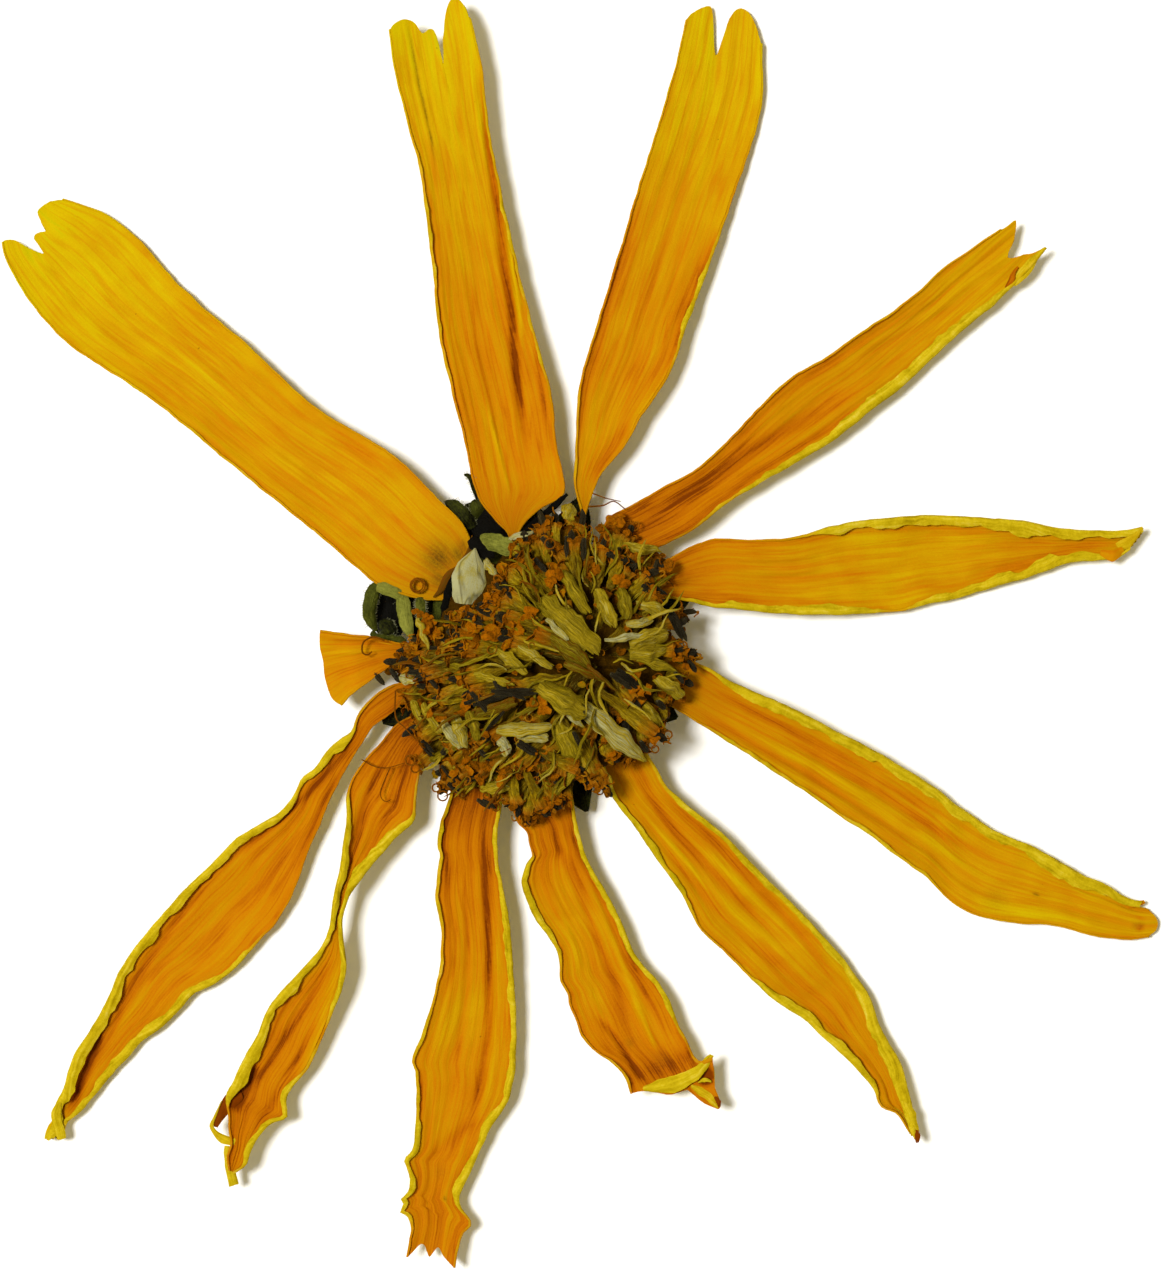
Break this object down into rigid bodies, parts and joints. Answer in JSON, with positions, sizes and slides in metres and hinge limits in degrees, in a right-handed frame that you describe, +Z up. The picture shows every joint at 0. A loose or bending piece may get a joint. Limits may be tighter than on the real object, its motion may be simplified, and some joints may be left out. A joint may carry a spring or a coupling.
{
  "type": "dried sunflower flower head",
  "caption": "Dried flower head: long notched ray florets round a dense disc of tubular florets, on a shallow green cup of bracts with a flat underside.",
  "frame": {"origin": "centre of the head's outline, on the surface that it lies on", "axes": "+Z up out of the disc's face, +Y along the two long upper rays, +X to the right in the view from above"},
  "size_m": [0.0726, 0.0792, 0.01],
  "materials": {
    "involucre": "dull dried green with short pale hairs",
    "disc": "dull dried brown-orange florets with dark anthers and pale chaff",
    "rays": "soft papery orange-yellow, fine lengthwise veins"
  },
  "bodies": {
    "root": {"involucre": "involucre", "disc": "disc", "ray_01": "rays", "ray_02": "rays", "ray_03": "rays", "ray_04": "rays", "ray_05": "rays", "ray_06": "rays", "ray_07": "rays", "ray_08": "rays", "ray_09": "rays", "ray_10": "rays", "ray_11": "rays", "ray_12": "rays"}
  },
  "joints": []
}
